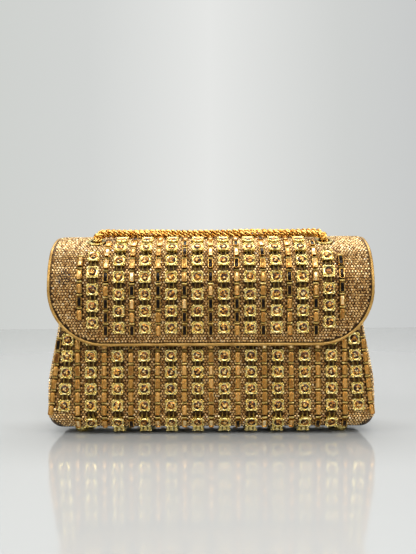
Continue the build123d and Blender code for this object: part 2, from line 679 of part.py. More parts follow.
# ---- Pieces: slip pocket ---------------------------------------------------------------
wall_normal = (0, -cos(lean), -sin(lean))
pocket_seat = Plane(
    origin=(0, skin_y(POCKET_TOP_Z, -WALL / cos(lean)) - FIT, POCKET_TOP_Z),
    x_dir=(1, 0, 0),
    z_dir=wall_normal,
)
depth = POCKET_ROOM + POCKET_T
pouch = Pos(0, -POCKET_H / 2, depth / 2) * Box(POCKET_W, POCKET_H, depth)
inside_w, inside_h = POCKET_W - 2 * POCKET_T, POCKET_H - POCKET_T
pouch -= Pos(0, -inside_h / 2, POCKET_ROOM / 2) * Box(inside_w, inside_h, POCKET_ROOM)
parts["slip_pocket"] = pocket_seat * pouch

# ---- Writing ---------------------------------------------------------------------------
os.makedirs("parts", exist_ok=True)
for name, shape in parts.items():
    pieces = shape if isinstance(shape, list) else [shape]
    solids = [Pos(0, MIDDLE_Y, 0) * solid for piece in pieces for solid in piece.solids()]
    body = solids[0] if len(solids) == 1 else Compound(children=solids)
    export_step(body, f"parts/{name}.step")
print("hinge", round(hinge_y + MIDDLE_Y, 4), round(hinge_z, 4))
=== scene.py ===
import json
from math import cos, hypot, pi, radians, sin

import bmesh
import bpy
import numpy as np
from mathutils import Matrix, Vector

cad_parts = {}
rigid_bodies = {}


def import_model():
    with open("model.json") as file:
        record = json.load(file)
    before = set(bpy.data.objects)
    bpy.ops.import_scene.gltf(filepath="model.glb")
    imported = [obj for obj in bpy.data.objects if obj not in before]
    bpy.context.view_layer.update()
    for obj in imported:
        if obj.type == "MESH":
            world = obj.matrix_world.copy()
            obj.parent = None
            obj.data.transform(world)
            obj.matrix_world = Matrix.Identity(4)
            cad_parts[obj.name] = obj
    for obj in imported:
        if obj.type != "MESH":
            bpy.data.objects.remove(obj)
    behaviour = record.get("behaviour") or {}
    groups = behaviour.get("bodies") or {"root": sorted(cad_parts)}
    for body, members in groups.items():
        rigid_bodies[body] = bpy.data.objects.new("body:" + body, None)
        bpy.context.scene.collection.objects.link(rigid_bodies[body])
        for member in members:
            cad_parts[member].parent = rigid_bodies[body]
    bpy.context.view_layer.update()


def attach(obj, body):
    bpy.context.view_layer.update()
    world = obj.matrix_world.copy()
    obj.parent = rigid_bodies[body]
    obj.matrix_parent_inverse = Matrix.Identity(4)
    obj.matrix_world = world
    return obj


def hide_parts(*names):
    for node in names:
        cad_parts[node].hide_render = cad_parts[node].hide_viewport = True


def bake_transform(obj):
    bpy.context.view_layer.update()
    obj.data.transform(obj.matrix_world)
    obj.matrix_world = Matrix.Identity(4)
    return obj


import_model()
MM = 0.001

# ---- Camera ----------------------------------------------------------------------------
# The bag is seen square on from its front, a little above the flap's middle and from about
# half a metre away, so its sides and the tops of its lower stones just show.
camera_data = bpy.data.cameras.new("camera")
camera_data.sensor_fit = "HORIZONTAL"
camera_data.sensor_width = 36.0
camera_data.lens = 58.6
camera_data.clip_start = 0.01
camera = bpy.data.objects.new("camera", camera_data)
camera.location = (0.0002, -0.4811, 0.1088)
camera.rotation_euler = (radians(90 - 0.17), radians(0.29), radians(0.24))
bpy.context.scene.collection.objects.link(camera)
bpy.context.scene.camera = camera

# ---- Chain handle ----------------------------------------------------------------------
# A wheat chain of gold-plated brass, 6 mm thick. Its oval links lie in four rows that lean
# by turns to the left and right, so every side shows a herringbone of bent wires. It lies
# limp across the crown, and its ends pass down the eyelets to keepers and stop rings.
CHAIN_D = 6 * MM
CHAIN_ROUTE = [
    (-0.0195, 0.0014, 0.1254),
    (-0.0380, 0.0018, 0.1252),
    (-0.0575, 0.0006, 0.1224),
    (-0.0734, -0.0012, 0.1176),
    (-0.0795, -0.0030, 0.1224),
    (-0.0795, -0.00805, 0.1348),
    (-0.0759, -0.0075, 0.1383),
    (-0.0620, 0.0009, 0.13825),
    (-0.0440, 0.0014, 0.1382),
    (-0.0260, 0.0026, 0.1384),
    (-0.0070, 0.0008, 0.1381),
    (0.0130, 0.0022, 0.1383),
    (0.0310, 0.0032, 0.1385),
    (0.0490, 0.0018, 0.13825),
    (0.0620, 0.0010, 0.13825),
    (0.0759, -0.0075, 0.1383),
    (0.0795, -0.00805, 0.1348),
    (0.0795, -0.0030, 0.1224),
    (0.0734, -0.0012, 0.1176),
    (0.0575, 0.0006, 0.1224),
    (0.0380, 0.0018, 0.1252),
    (0.0195, 0.0014, 0.1254),
]
LINK_PITCH = 4.0 * MM       # from one link of a row to the next
LINK_WIRE = 1.55 * MM       # thickness of a link's wire
LINK_R = 1.8 * MM           # radius of its middle line across the chain
LINK_LONG = 1.4             # its middle line is this much longer than wide
LINK_LEAN = 32.0            # degrees between a link and the chain's length
LINK_PROUD = 0.35 * MM      # how far the wires' backs reach past the chain's thickness
LINK_ROWS = 4
BRAID_SWING = 40.0          # degrees that the rows turn to and fro along the chain
BRAID_WAVE = 4.7            # links for one radian of that swing
AIM = 0.6 * MM              # the chain's direction is taken this far ahead and behind


def deselect():
    """Nothing stays selected or in edit mode."""
    if bpy.context.object and bpy.context.object.mode == "EDIT":
        bpy.ops.object.mode_set(mode="OBJECT")
    bpy.ops.object.select_all(action="DESELECT")


def choose(object_):
    """Make one object the active and only selected one."""
    deselect()
    bpy.context.view_layer.objects.active = object_
    object_.select_set(True)


def finished(object_, name, angle=40.0):
    """Leave edit mode, put the place into the mesh and smooth its shading."""
    choose(object_)
    bpy.ops.object.transform_apply(location=True, rotation=True, scale=True)
    bpy.ops.object.shade_smooth_by_angle(angle=radians(angle))
    object_.select_set(False)
    object_.name = name
    object_.data.name = name
    return object_


def repeated(pattern, places, name):
    """One piece made of a copy of the pattern's mesh at each place."""
    mesh = pattern.data
    count = len(mesh.vertices)
    corners = np.empty(count * 3)
    mesh.vertices.foreach_get("co", corners)
    stack = np.array([np.array(place) for place in places])
    moved = np.einsum("nij,vj->nvi", stack[:, :3, :3], corners.reshape(-1, 3))
    moved += stack[:, None, :3, 3]
    faces = [tuple(face.vertices) for face in mesh.polygons]
    made = bpy.data.meshes.new(name)
    made.from_pydata(
        moved.reshape(-1, 3).tolist(),
        [],
        [tuple(v + n * count for v in face) for n in range(len(places)) for face in faces],
    )
    smooth = np.tile([face.use_smooth for face in mesh.polygons], len(places))
    made.polygons.foreach_set("use_smooth", smooth)
    sharp = {tuple(sorted(edge.vertices)) for edge in mesh.edges if edge.use_edge_sharp}
    if sharp:
        for edge in made.edges:
            edge.use_edge_sharp = tuple(sorted(v % count for v in edge.vertices)) in sharp
    object_ = bpy.data.objects.new(name, made)
    bpy.context.scene.collection.objects.link(object_)
    return object_


def drop(*objects):
    """Remove objects that were only needed to make others."""
    for object_ in objects:
        bpy.data.objects.remove(object_, do_unlink=True)


def frame_at(point, across, along, out):
    """Place with its X across, its Y along and its Z out of the surface."""
    place = Matrix.Identity(4)
    for column, axis in enumerate((across, along, out, point)):
        for row in range(3):
            place[row][column] = axis[row]
    return place


route_curve = bpy.data.curves.new("chain_route", "CURVE")
route_curve.dimensions = "3D"
spline = route_curve.splines.new("NURBS")
spline.points.add(len(CHAIN_ROUTE) - 1)
for point, place in zip(spline.points, CHAIN_ROUTE):
    point.co = (*place, 1.0)
spline.order_u = 3
spline.use_endpoint_u = True
spline.resolution_u = 16
route_object = bpy.data.objects.new("chain_route", route_curve)
bpy.context.scene.collection.objects.link(route_object)
bpy.context.view_layer.update()
line_mesh = bpy.data.meshes.new_from_object(route_object)
chain_line = [Vector(v.co) for v in line_mesh.vertices]
drop(route_object)

steps = [0.0]
for before, after in zip(chain_line, chain_line[1:]):
    steps.append(steps[-1] + (after - before).length)
chain_length = steps[-1]


def chain_point(distance):
    """Point of the chain's centre line at a distance along it."""
    index = int(np.clip(np.searchsorted(steps, distance) - 1, 0, len(steps) - 2))
    share = (distance - steps[index]) / (steps[index + 1] - steps[index])
    return chain_line[index].lerp(chain_line[index + 1], share)


bpy.ops.mesh.primitive_torus_add(
    major_segments=12,
    minor_segments=5,
    major_radius=LINK_R,
    minor_radius=LINK_WIRE / 2,
    location=(CHAIN_D / 2 + LINK_PROUD - LINK_WIRE / 2 - LINK_R, 0, 0),
    rotation=(radians(90 - LINK_LEAN), 0, 0),
)
bpy.context.object.scale = (1.0, LINK_LONG, 1.0)
link = finished(bpy.context.object, "chain_link", 180)

link_places = []
side = Vector((0, 1, 0))
reach = LINK_R + LINK_WIRE
room = chain_length - 2 * reach
count = int(room // LINK_PITCH)
for n in range(count + 1):
    for row in range(LINK_ROWS):
        share = 0.0 if row % 2 else 0.5
        distance = reach + (n + share) * room / (count + 1)
        here = chain_point(distance)
        ahead = chain_point(min(distance + AIM, chain_length))
        behind = chain_point(max(distance - AIM, 0))
        along = (ahead - behind).normalized()
        side = (side - along * side.dot(along)).normalized()
        place = frame_at(here, side, along.cross(side), along)
        swing = BRAID_SWING * sin(n / BRAID_WAVE)
        turn = Matrix.Rotation(radians(360 / LINK_ROWS * row + swing), 4, "Z")
        flip = Matrix.Rotation(pi * (row % 2), 4, "X")
        link_places.append(place @ turn @ flip)
chain = repeated(link, link_places, "chain_links")
drop(link)


def srgb(code):
    """Linear colour of an sRGB hex code."""
    parts = [int(code[i : i + 2], 16) / 255 for i in (0, 2, 4)]
    return (*[c / 12.92 if c < 0.04045 else ((c + 0.055) / 1.055) ** 2.4 for c in parts], 1.0)


def node(tree, kind, settings=None, inputs=None, links=None):
    """Add one shader node with its settings, its fixed inputs and its incoming links."""
    made = tree.nodes.new(kind)
    for key, value in (settings or {}).items():
        setattr(made, key, value)
    for key, value in (inputs or {}).items():
        made.inputs[key].default_value = value
    for key, socket in (links or {}).items():
        tree.links.new(socket, made.inputs[key])
    return made


def material(name, constants):
    """New material with only its output and a Principled shader, set to constants."""
    made = bpy.data.materials.new(name)
    made.use_nodes = True
    tree = made.node_tree
    tree.nodes.clear()
    shader = node(tree, "ShaderNodeBsdfPrincipled", inputs=constants)
    node(tree, "ShaderNodeOutputMaterial", links={"Surface": shader.outputs[0]})
    return made, tree, shader


def ramp(tree, factor, stops):
    """Colour ramp between (position, hex) stops."""
    made = node(tree, "ShaderNodeValToRGB", links={"Fac": factor})
    band = made.color_ramp
    while len(band.elements) < len(stops):
        band.elements.new(0.5)
    for element, (position, code) in zip(band.elements, stops):
        element.position = position
        element.color = srgb(code)
    return made.outputs["Color"]


def noise(tree, size_mm, detail=2.0, roughness=0.5):
    """Noise whose blotches are about size_mm across, in the object's own coordinates."""
    made = node(
        tree,
        "ShaderNodeTexNoise",
        inputs={"Scale": 1.0 / (size_mm * MM), "Detail": detail, "Roughness": roughness},
        links={"Vector": node(tree, "ShaderNodeTexCoord").outputs["Object"]},
    )
    return made.outputs["Fac"]


def coloured(shader, factor, stops):
    """Wire a colour ramp between (position, hex) stops to the base colour."""
    tree = shader.id_data
    tree.links.new(ramp(tree, factor, stops), shader.inputs["Base Color"])


def roughened(shader, factor, low, high):
    """Let the roughness run from low to high with the middle of a noise's range."""
    tree = shader.id_data
    spread = node(
        tree,
        "ShaderNodeMapRange",
        inputs={"From Min": 0.3, "From Max": 0.7, "To Min": low, "To Max": high},
        links={"Value": factor},
    )
    tree.links.new(spread.outputs[0], shader.inputs["Roughness"])


def embossed(shader, height, strength, depth_mm):
    """Fine relief from a height between 0 and 1."""
    tree = shader.id_data
    bump = node(
        tree,
        "ShaderNodeBump",
        inputs={"Strength": strength, "Distance": depth_mm * MM},
        links={"Height": height},
    )
    tree.links.new(bump.outputs[0], shader.inputs["Normal"])
    return bump


def refinish(finish, *names):
    """Give CAD nodes a finish in place of their plain one."""
    for name in names:
        data = bpy.data.objects[name].data
        data.materials.clear()
        data.materials.append(finish)


def fitted(piece, finish, body, slot, *replaced):
    """Give a piece its finish and its body, and hide the CAD nodes that it replaces; its slot is
    not used.
    """
    piece.data.materials.clear()
    piece.data.materials.append(finish)
    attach(piece, body)
    for name in replaced:
        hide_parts(name)


# Gold-plated brass wire, tumbled and polished: a warm orange gold with clear highlights,
# painted darker and paler in chance blotches; the dark ones are a painted shade for the
# crevices between links, and the roughness follows the same blotches.
chain_gold, tree, shader = material(
    "polished gold-plated brass, woven chain", {"Metallic": 1.0}
)
painted_shade_blotches = noise(tree, 2.5, 3.0)
coloured(shader, painted_shade_blotches, [(0.35, "b87c28"), (0.6, "f8cc74")])
roughened(shader, painted_shade_blotches, 0.12, 0.26)
embossed(shader, noise(tree, 0.6), 0.15, 0.05)
fitted(chain, chain_gold, "flap", "chain_metal", "chain_handle")
refinish(chain_gold, "chain_end_rings")

# ---- Room ------------------------------------------------------------------------------
# A white glossy table top with a pale grey wall behind it that has a painted glow, lit by large
# soft boxes.
bpy.ops.mesh.primitive_grid_add(x_subdivisions=8, y_subdivisions=8, size=6.0)
floor = bpy.context.object
floor.name = "floor"
floor_white, tree, shader = material(
    "white lacquered table top", {"Roughness": 0.09, "IOR": 1.7}
)
coloured(shader, noise(tree, 400), [(0.3, "a8a9a8"), (0.7, "aeafae")])
floor.data.materials.append(floor_white)

bpy.ops.mesh.primitive_grid_add(
    x_subdivisions=24, y_subdivisions=12, size=1.0, location=(0, 0.9, 1.2)
)
wall = bpy.context.object
wall.scale = (5.0, 2.6, 1.0)
wall.rotation_euler = (radians(90), 0, 0)
wall = finished(wall, "backdrop")
# The paper has a painted glow: a painted pool of light, brightest behind the bag, that the
# camera and mirror rays see but that lights nothing.
wall_grey, tree, shader = material("matt grey paper backdrop with a painted glow", {"Roughness": 1.0})
place = node(tree, "ShaderNodeTexCoord").outputs["Object"]
split = node(tree, "ShaderNodeSeparateXYZ", links={"Vector": place})
band = node(
    tree,
    "ShaderNodeMapRange",
    inputs={"From Min": -0.62, "From Max": 0.62, "To Min": 0.0, "To Max": 1.0},
    links={"Value": split.outputs["X"]},
)
# Painted pool of light: the paper's colour is brightest behind the bag and darker to the sides.
shade = ramp(
    tree,
    band.outputs[0],
    [(0.0, "cbceca"), (0.3, "d3d5d3"), (0.5, "e6e7e5"), (0.72, "d0d2d0"), (1.0, "c0c2c4")],
)
tree.links.new(shade, shader.inputs["Base Color"])
painted_glow = node(tree, "ShaderNodeEmission", links={"Color": shade})
rays = node(tree, "ShaderNodeLightPath").outputs
seen = rays["Is Camera Ray"]
for kind in ("Is Glossy Ray", "Is Transmission Ray"):
    seen = node(
        tree, "ShaderNodeMath", {"operation": "MAXIMUM"}, links={0: seen, 1: rays[kind]}
    ).outputs[0]
mixed = node(
    tree, "ShaderNodeMixShader", links={0: seen, 1: shader.outputs[0], 2: painted_glow.outputs[0]}
)
tree.links.new(mixed.outputs[0], tree.nodes["Material Output"].inputs["Surface"])
wall.data.materials.append(wall_grey)

world = bpy.data.worlds.new("studio")
bpy.context.scene.world = world
world.use_nodes = True
world.node_tree.nodes["Background"].inputs["Color"].default_value = srgb("f4f4f2")
world.node_tree.nodes["Background"].inputs["Strength"].default_value = 0.48


def soft_box(name, place, target, width, height, power):
    """Rectangular soft box that faces a point."""
    lamp = bpy.data.lights.new(name, "AREA")
    lamp.shape = "RECTANGLE"
    lamp.size = width
    lamp.size_y = height
    lamp.energy = power
    object_ = bpy.data.objects.new(name, lamp)
    object_.location = place
    towards = Vector(target) - Vector(place)
    object_.rotation_euler = towards.to_track_quat("-Z", "Y").to_euler()
    bpy.context.scene.collection.objects.link(object_)


# Width and height in metres, power in watts.
soft_box("top box", (0.0, 0.25, 1.05), (0, 0, 0.05), 1.3, 0.6, 12.0)
soft_box("front box", (0.1, -1.0, 0.95), (0, 0, 0.08), 0.8, 0.4, 7.5)
soft_box("left box", (-0.9, -0.6, 0.7), (0, 0, 0.08), 0.35, 0.8, 7.0)
soft_box("right box", (0.9, -0.6, 0.65), (0, 0, 0.08), 0.35, 0.8, 6.0)
bpy.context.scene.view_settings.view_transform = "Standard"

# ---- Crystal mesh panels ---------------------------------------------------------------
# A fine gold-plated net that holds some thousands of small round stones, 2 mm from one to
# the next in staggered rows. Panels of it are glued over the board of the case and flap.
# All sizes from here on are in millimetres until they are multiplied by MM.
SEED = np.random.default_rng(11)
MIDDLE = 3.0422             # from the bag's middle to the middle of the case's depth
STONE_PITCH = 2.0
STONE_ROW = 1.78
STONE_R = 0.93
STONE_RISE = 0.5
STONE_LIFT = 0.02           # from the net to the underside of a stone
CASE_CUP_X = [(i - 5.5) * 18.05 for i in range(12)]
CASE_BAR_X = [(i - 5) * 18.05 for i in range(11)]
FLAP_CUP_X = [(i - 4.5) * 17.5 for i in range(10)]
FLAP_BAR_X = [(i - 5) * 17.5 for i in range(11)]
CUP_GAP, BAR_GAP = 3.7, 1.9         # no small stones this near to a strip's middle line
# Strips on the flap, and the distances from its hem between which they take the stones'
# place: the outermost ones are shorter and stop below the eyelets.
FLAP_STRIPS = (
    (FLAP_CUP_X[1:-1], CUP_GAP, 7.0, 80.5),
    (FLAP_BAR_X[1:-1], BAR_GAP, 5.6, 82.0),
    (FLAP_CUP_X[::9], CUP_GAP, 10.5, 62.0),
    (FLAP_BAR_X[::10], BAR_GAP, 16.6, 57.2),
)
FLAP_HALF = 107.5
FLAP_CORNER = 35.8          # radius of the flap's lower corners
FLAP_MARGIN = 1.0           # stones stop this far inside the flap's edge
EYELET_X, EYELET_UP, EYELET_GAP = 79.5, 78.1, 7.0
# Leaning strips beside the case's own: place at hip height and degrees outwards.
HIP_Z = 45.0
OUTER_CUP_X, OUTER_CUP_LEAN = 97.8, 3.4
OUTER_BAR_X, OUTER_BAR_LEAN = 105.2, 6.3
OUTER_CUP_FOOT, OUTER_BAR_FOOT, OUTER_TOP = 19, 17, 70.0
FRONT_TOP, BACK_TOP = 70.0, 108.0   # where the strips of the front and back end
CASE_EDGE = 7.0             # radius of the case's upright edges
EDGE_REACH = 5.5            # a panel goes this far round them
CASE_CORNER, CASE_CORNER_Z = 10.0, 14.0     # radius and height of the lower corners
HIP_HALF = 111.4            # half width of the whole bag
# Under the mouth's binding, which slopes down 10 mm over its depth of 44 mm to the front.
GUSSET_TOP, MOUTH_SLOPE = 114.5, 10 / 44


def start_edit(object_):
    """Edit mode on one object, with nothing of it selected."""
    choose(object_)
    bpy.ops.object.mode_set(mode="EDIT")
    bpy.ops.mesh.select_all(action="DESELECT")


def pick(test, kind="faces"):
    """Select in edit mode the faces or edges that a test accepts."""
    bpy.ops.mesh.select_mode(type={"edges": "EDGE", "faces": "FACE"}[kind])
    bpy.ops.mesh.select_all(action="DESELECT")
    mesh = bmesh.from_edit_mesh(bpy.context.object.data)
    for element in getattr(mesh, kind):
        if test(element):
            element.select_set(True)
    mesh.select_flush_mode()
    bmesh.update_edit_mesh(bpy.context.object.data)


def open_underside(object_):
    """Start to edit an object and delete its faces that look down."""
    start_edit(object_)
    pick(lambda f: f.normal.z < -0.5)
    bpy.ops.mesh.delete(type="FACE")


def settled(object_):
    """Put a mesh's faces in the order of their places, since edits leave them in any order."""
    mesh = bmesh.new()
    mesh.from_mesh(object_.data)
    by_place = sorted(
        mesh.faces, key=lambda f: [round(c / MM, 2) for c in f.calc_center_median()]
    )
    for index, face in enumerate(by_place):
        face.index = index
    mesh.faces.sort()
    mesh.to_mesh(object_.data)
    mesh.free()


def arc_run(centre, radius, start, end):
    """Arc of a side view, between two angles in degrees above +Y."""
    start, end = radians(start), radians(end)
    length = radius * abs(end - start)
    return {"centre": centre, "radius": radius, "start": start, "end": end, "length": length}


def line_run(start, end, side):
    """Straight piece of a side view, with the bag's outside on its front (-1) or back (1)."""
    length = hypot(end[0] - start[0], end[1] - start[1])
    return {"from": start, "to": end, "length": length, "side": side}


def walk(runs, distance):
    """Point, direction and outward normal at a distance along a side view, in metres."""
    for run in runs:
        if distance <= run["length"] or run is runs[-1]:
            break
        distance -= run["length"]
    share = distance / run["length"]
    if "centre" in run:
        angle = run["start"] + (run["end"] - run["start"]) * share
        out = Vector((0, cos(angle), sin(angle)))
        point = Vector((0, *run["centre"])) + out * run["radius"]
        sign = 1 if run["end"] > run["start"] else -1
        along = Vector((0, -sin(angle), cos(angle))) * sign
        return point * MM, along, out
    start, end = Vector((0, *run["from"])), Vector((0, *run["to"]))
    along = (end - start).normalized()
    out = Vector((0, along.z, -along.y))
    return (start + (end - start) * share) * MM, along, out * run["side"]


def total(runs):
    """Length of a side view."""
    return sum(run["length"] for run in runs)


# The side view of the flap's outer face, from its hem up the front and over to the hinge.
FLAP_FRONT_Y, HEM_Z, BROW_Z = -29.042, 63.5, 100.36
flap_runs = [
    line_run((FLAP_FRONT_Y, HEM_Z), (FLAP_FRONT_Y, BROW_Z), -1),
    arc_run((5.958, BROW_Z), 35.0, 180, 137),
    arc_run((-5.0125, 110.59), 20.0, 137, 121),
    arc_run((15.589, 76.303), 60.0, 121, 90.61),
    arc_run((15.054, 126.3), 10.0, 90.61, 0),
]

# The side view of the case's front, from the middle of its base out and up to the mouth.
ROLL_Y, ROLL_Z, ROLL_R, LEAN = 13.0, 17.0, 13.0, 2.1
lean_y = ROLL_Y + ROLL_R * cos(radians(LEAN))
lean_z = ROLL_Z + ROLL_R * sin(radians(LEAN))


def case_runs(top, side):
    """Side view of the front (side -1) or the back (side 1), from its base up to `top`."""
    foot, head = (-90, LEAN) if side > 0 else (270, 180 - LEAN)
    narrow = (top - lean_z) * np.tan(radians(LEAN))
    start, end = MIDDLE + side * lean_y, MIDDLE + side * (lean_y - narrow)
    return [
        arc_run((MIDDLE + side * ROLL_Y, ROLL_Z), ROLL_R, foot, head),
        line_run((start, lean_z), (end, top), side),
    ]


def half_depth(z):
    """Half the depth of the case at a height."""
    if z < lean_z:
        return ROLL_Y + ROLL_R * cos(np.arcsin(max(-1.0, (z - ROLL_Z) / ROLL_R)))
    return lean_y - (z - lean_z) * np.tan(radians(LEAN))


gusset = bpy.data.objects["gusset_mesh_right"]


def half_width(z):
    """Half the width of the case at a height, read from its gusset."""
    hit, point, *_ = gusset.ray_cast(Vector((0.3, MIDDLE * MM, z * MM)), Vector((-1, 0, 0)))
    return point.x / MM if hit else HIP_HALF


WIDTHS_FROM, WIDTHS_TO = 8, 119
widths = {z: half_width(z) for z in range(WIDTHS_FROM, WIDTHS_TO + 1)}


def width_at(z):
    """Half the width of the case between two of the heights that were read."""
    low = int(np.clip(np.floor(z), WIDTHS_FROM, WIDTHS_TO - 1))
    share = np.clip(z - low, 0, 1)
    return widths[low] * (1 - share) + widths[low + 1] * share


def corner_inset(z):
    """How far the case's rounded lower corners draw its width in at a height."""
    below = max(0.0, CASE_CORNER_Z - z)
    return CASE_CORNER - np.sqrt(max(0.0, CASE_CORNER**2 - below**2))


# One small stone: a six-sided frustum without its underside.
bpy.ops.mesh.primitive_cone_add(
    vertices=6,
    radius1=STONE_R * MM,
    radius2=0.48 * STONE_R * MM,
    depth=STONE_RISE * MM,
    location=(0, 0, STONE_RISE / 2 * MM),
)
small_stone = bpy.context.object
open_underside(small_stone)
small_stone = finished(small_stone, "small_stone", 20)
small_stone_faces = len(small_stone.data.polygons)


def stone_at(point, along, out):
    """Place of a small stone, turned by a chance angle about its own axis."""
    across = along.cross(out)
    turn = SEED.uniform(0, pi / 3)
    first = across * cos(turn) + along * sin(turn)
    return frame_at(point + out * (STONE_LIFT * MM), first, out.cross(first), out)


def beside(x, columns, half):
    """Whether x is nearer than `half` to one of the columns."""
    return any(abs(x - column) < half for column in columns)


def staggered(half, row):
    """Places across a row of small stones, every other row half a pitch on."""
    return np.arange(-half + (row % 2) * STONE_PITCH / 2, half + 0.1, STONE_PITCH)


def round_edge(centre, bend, slope):
    """Place of a small stone on the half round of an upright edge, turned to `bend`."""
    tilt = (bend + Vector((0, 0, slope))).normalized()
    up = (Vector((0, 0, 1)) - tilt * tilt.z).normalized()
    return stone_at(centre + bend * (CASE_EDGE * MM), up, tilt)


flap_places = []
for row, distance in enumerate(np.arange(1.2, total(flap_runs) - 1.5, STONE_ROW)):
    point, along, out = walk(flap_runs, distance)
    below = HEM_Z + FLAP_CORNER - point.z / MM
    reach = FLAP_HALF - FLAP_MARGIN
    if below > 0 and point.y < 0:
        round_off = np.sqrt(max(0.0, (FLAP_CORNER - FLAP_MARGIN) ** 2 - below**2))
        reach = FLAP_HALF - FLAP_CORNER + round_off
    for x in staggered(107, row):
        if abs(x) > reach or hypot(abs(x) - EYELET_X, distance - EYELET_UP) < EYELET_GAP:
            continue
        if any(
            low < distance < high and beside(x, columns, gap)
            for columns, gap, low, high in FLAP_STRIPS
        ):
            continue
        jitter = SEED.uniform(-0.12, 0.12) * MM
        flap_places.append(stone_at(point + Vector((x * MM + jitter, 0, 0)), along, out))


def case_places(side, top, strip_top):
    """Places of the small stones on the front or back, and half round its upright edges."""
    runs = case_runs(top, side)
    places = []
    for row, distance in enumerate(np.arange(7.2, total(runs), STONE_ROW)):
        point, along, out = walk(runs, distance)
        z = point.z / MM
        flat = width_at(max(z, WIDTHS_FROM)) - CASE_EDGE - corner_inset(z)
        outer_cup = OUTER_CUP_X - (z - HIP_Z) * np.tan(radians(OUTER_CUP_LEAN))
        outer_bar = OUTER_BAR_X - (z - HIP_Z) * np.tan(radians(OUTER_BAR_LEAN))
        strips = (
            (CASE_CUP_X[1:-1], CUP_GAP, 0, strip_top),
            (CASE_BAR_X, BAR_GAP, 0, strip_top),
            ((-outer_cup, outer_cup), CUP_GAP, OUTER_CUP_FOOT, OUTER_TOP),
            ((-outer_bar, outer_bar), BAR_GAP, OUTER_BAR_FOOT, OUTER_TOP),
        )
        for x in staggered(110, row):
            if abs(x) > flat + EDGE_REACH:
                continue
            if any(
                low < z < high and beside(x, columns, gap) for columns, gap, low, high in strips
            ):
                continue
            if abs(x) <= flat:
                places.append(stone_at(point + Vector((x * MM, 0, 0)), along, out))
                continue
            turn = (abs(x) - flat) / CASE_EDGE
            hand = 1 if x > 0 else -1
            bend = Vector((hand * sin(turn), side * cos(turn), 0))
            centre = Vector((hand * flat * MM, point.y - side * CASE_EDGE * MM, point.z))
            places.append(round_edge(centre, bend, out.z * cos(turn)))
    return places


def gusset_places(hand):
    """Places of the small stones on a gusset, and half round its upright edges."""
    places = []
    for row, z in enumerate(np.arange(6.9, 119.5, STONE_ROW)):
        wide = width_at(z) - corner_inset(z) - CASE_EDGE
        flat = half_depth(z) - CASE_EDGE
        if z < CASE_CORNER_Z:
            below = CASE_CORNER_Z - z
            slope = below / np.sqrt(CASE_CORNER**2 - below**2)
        else:
            above = width_at(min(z + 2, WIDTHS_TO - 1))
            slope = (above - width_at(max(min(z, WIDTHS_TO - 3) - 2, WIDTHS_FROM))) / 4
        for y in staggered(26, row):
            if abs(y) > flat + EDGE_REACH or z > GUSSET_TOP + y * MOUTH_SLOPE:
                continue
            turn = max(0.0, (abs(y) - flat) / CASE_EDGE)
            side = 1 if y > 0 else -1
            bend = Vector((hand * cos(turn), side * sin(turn), 0))
            centre = Vector((hand * wide, MIDDLE + side * min(abs(y), flat), z)) * MM
            places.append(round_edge(centre, bend, -slope * cos(turn)))
    return places


stone_panels = []
for name, body, places in (
    ("flap_small_stones", "flap", flap_places),
    ("front_small_stones", "case", case_places(-1, FRONT_TOP + 0.5, FRONT_TOP - 0.5)),
    ("back_small_stones", "case", case_places(1, BACK_TOP + 5.5, BACK_TOP + 0.3)),
    ("gusset_small_stones_left", "case", gusset_places(-1)),
    ("gusset_small_stones_right", "case", gusset_places(1)),
):
    stone_panels.append((repeated(small_stone, places, name), body))
drop(small_stone)


def shade_faces(object_, shades):
    """Keep a shade for each face, which the glass shows as its colour: mostly painted
    reflections and glints.
    """
    layer = object_.data.attributes.new("facet", "FLOAT", "FACE")
    layer.data.foreach_set("value", shades.astype(np.float32))


def chance_painted_glints(object_, per_stone, alike=0.4, painted_light=0.0):
    """A chance shade of painted glints and reflections for each face, partly its own stone's,
    with painted light added face by face.
    """
    faces = len(object_.data.polygons)
    own = SEED.beta(1.6, 1.9, faces // per_stone)
    facets = SEED.beta(0.6, 0.7, faces)
    shades = np.clip(np.repeat(own, per_stone) * alike + facets * (1 - alike), 0.03, 1)
    shade_faces(object_, np.clip(shades + np.resize(painted_light, faces), 0.03, 1))


def facet(tree):
    """The shade of each face, mostly painted reflections and glints."""
    return node(tree, "ShaderNodeAttribute", {"attribute_name": "facet"}).outputs["Fac"]


# Foil-backed lead glass in champagne, with painted glints and reflections: each facet is
# coloured by chance from a painted bright gold glint to the painted dark brown reflection of
# the facets behind it, so its shade jumps from one facet to the next.
# Shade 0 is kept for stones that have lost their foil.
champagne, tree, shader = material(
    "foil-backed champagne glass, small stones",
    {"Metallic": 0.75, "Coat Weight": 0.25, "Coat Roughness": 0.15},
)
coloured(
    shader,
    facet(tree),
    [
        (0.0, "24304c"),
        (0.02, "4e2c10"),
        (0.2, "8e6432"),
        (0.42, "cba264"),
        (0.65, "edc888"),
        (0.85, "fae2b0"),
        (1.0, "fff8e6"),
    ],
)
roughened(shader, noise(tree, 3.0), 0.3, 0.45)
for stones, body in stone_panels:
    chance_painted_glints(stones, small_stone_faces)
    fitted(stones, champagne, body, "crystal_mesh")

# A few stones near the flap's left end have lost their foil and show bluish and dark.
FADED_X, FADED_Z, FADED_R, FADED_SHARE = -98.5, 108, 5, 0.35
flap_stones = stone_panels[0][0].data
for face, shade in zip(flap_stones.polygons, flap_stones.attributes["facet"].data):
    off = hypot(face.center.x - FADED_X * MM, face.center.z - FADED_Z * MM)
    if off < FADED_R * MM and SEED.random() < FADED_SHARE:
        shade.value = 0.0

